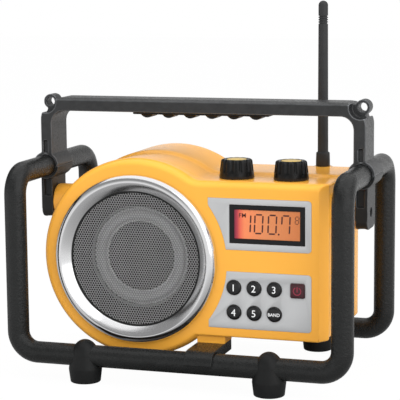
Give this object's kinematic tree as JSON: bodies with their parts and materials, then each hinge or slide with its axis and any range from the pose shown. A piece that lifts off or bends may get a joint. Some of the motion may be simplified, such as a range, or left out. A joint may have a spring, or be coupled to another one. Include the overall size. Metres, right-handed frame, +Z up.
{
  "type": "jobsite radio",
  "caption": "Jobsite radio: round speaker housing and control box with display, keys and two knobs, held in a bent-tube roll cage with a carry handle, rubber feet and a flexible aerial.",
  "frame": {"origin": "on the ground, at the centre of the cage", "axes": "+Z up, front with the speaker and display faces -Y, +X to the right of a person who looks at the front"},
  "size_m": [0.3076, 0.1922, 0.3165],
  "materials": {
    "cage_black": "fine textured black powder coat",
    "moulded_black": "matte black moulded plastic with a fine grain",
    "rubber_black": "matte black rubber",
    "housing_yellow": "glossy warm yellow plastic",
    "screw_steel": "zinc-plated steel",
    "ring_silver": "bright silver plating",
    "grille_grey": "dark grey painted steel sheet",
    "panel_silver": "silver painted plastic",
    "key_black": "glossy black plastic",
    "key_red": "glossy dark red plastic",
    "knob_black": "satin black plastic",
    "disc_yellow": "pale yellow plastic",
    "window_black": "glossy black window",
    "display_orange": "backlit orange display",
    "board_green": "green circuit board",
    "foam_black": "black foam",
    "paper_grey": "dark grey paper cone",
    "surround_grey": "grey rubber",
    "magnet_black": "ferrite and plated steel",
    "copper": "enamelled copper wire",
    "brass_gold": "turned brass",
    "cell_wrap": "printed cell wrapper"
  },
  "bodies": {
    "radio": {"cage_frame": "cage_black", "foot_front_left": "rubber_black", "foot_front_right": "rubber_black", "foot_rear_left": "rubber_black", "foot_rear_right": "rubber_black", "foot_screws": "screw_steel", "front_saddle": "moulded_black", "rear_saddle": "moulded_black", "saddle_screws": "screw_steel", "handle": "moulded_black", "grip_pad": "rubber_black", "left_bracket": "moulded_black", "right_bracket": "moulded_black", "handle_screws": "screw_steel", "bracket_screws": "screw_steel", "front_shell": "housing_yellow", "rear_shell": "housing_yellow", "shell_gasket": "rubber_black", "shell_screws": "screw_steel", "speaker_ring": "ring_silver", "speaker_grille": "grille_grey", "foam_ring": "foam_black", "speaker_basket": "grille_grey", "speaker_screws": "screw_steel", "speaker_magnet": "magnet_black", "speaker_yoke": "screw_steel", "speaker_surround": "surround_grey", "upper_panel": "panel_silver", "lower_panel": "panel_silver", "display_window": "window_black", "lcd_module": "display_orange", "display_board": "board_green", "key_switches": "moulded_black", "volume_pot": "screw_steel", "tuning_encoder": "screw_steel", "control_nuts": "screw_steel", "aerial_rod": "rubber_black", "aerial_socket": "brass_gold", "battery_tray": "moulded_black", "battery_cells": "cell_wrap", "battery_contacts": "screw_steel", "jack_block": "moulded_black"},
    "volume": {"volume_knob": "knob_black", "volume_disc": "disc_yellow", "volume_shaft": "screw_steel"},
    "tuning": {"tuning_knob": "knob_black", "tuning_disc": "disc_yellow", "tuning_shaft": "screw_steel"},
    "cone": {"speaker_cone": "paper_grey", "dust_cap": "paper_grey", "voice_coil": "copper"},
    "door": {"battery_door": "housing_yellow"},
    "flap": {"jack_cover": "rubber_black"},
    "key_1": {"button_1": "key_black"},
    "key_2": {"button_2": "key_black"},
    "key_3": {"button_3": "key_black"},
    "key_4": {"button_4": "key_black"},
    "key_5": {"button_5": "key_black"},
    "key_band": {"button_band": "key_black"},
    "key_power": {"button_power": "key_red"}
  },
  "joints": [
    {"name": "volume_turn", "type": "hinge", "parent": "radio", "child": "volume", "pos_m": [0.0354, -0.02, 0.178], "axis": [0, 0, 1], "range_deg": [-150, 150]},
    {"name": "tuning_turn", "type": "hinge", "parent": "radio", "child": "tuning", "pos_m": [0.083, -0.02, 0.178], "axis": [0, 0, 1], "continuous": true},
    {"name": "cone_stroke", "type": "slide", "parent": "radio", "child": "cone", "axis": [0, -1, 0], "range_m": [-0.002, 0.002], "stiffness_N_per_m": 2000, "deforming": ["speaker_surround"]},
    {"name": "door_hinge", "type": "hinge", "parent": "radio", "child": "door", "pos_m": [0.0575, 0.0602, 0.0603], "axis": [-1, 0, 0], "range_deg": [0, 95]},
    {"name": "flap_hinge", "type": "hinge", "parent": "radio", "child": "flap", "pos_m": [-0.0458, 0.061, 0.0667], "axis": [1, 0, 0], "range_deg": [0, 100]},
    {"name": "key_1_press", "type": "slide", "parent": "radio", "child": "key_1", "axis": [0, 1, 0], "range_m": [0, 0.001], "stiffness_N_per_m": 1500, "springref_m": -0.0006},
    {"name": "key_2_press", "type": "slide", "parent": "radio", "child": "key_2", "axis": [0, 1, 0], "range_m": [0, 0.001], "stiffness_N_per_m": 1500, "springref_m": -0.0006},
    {"name": "key_3_press", "type": "slide", "parent": "radio", "child": "key_3", "axis": [0, 1, 0], "range_m": [0, 0.001], "stiffness_N_per_m": 1500, "springref_m": -0.0006},
    {"name": "key_4_press", "type": "slide", "parent": "radio", "child": "key_4", "axis": [0, 1, 0], "range_m": [0, 0.001], "stiffness_N_per_m": 1500, "springref_m": -0.0006},
    {"name": "key_5_press", "type": "slide", "parent": "radio", "child": "key_5", "axis": [0, 1, 0], "range_m": [0, 0.001], "stiffness_N_per_m": 1500, "springref_m": -0.0006},
    {"name": "key_band_press", "type": "slide", "parent": "radio", "child": "key_band", "axis": [0, 1, 0], "range_m": [0, 0.001], "stiffness_N_per_m": 1500, "springref_m": -0.0006},
    {"name": "key_power_press", "type": "slide", "parent": "radio", "child": "key_power", "axis": [0, 1, 0], "range_m": [0, 0.001], "stiffness_N_per_m": 1500, "springref_m": -0.0006}
  ]
}
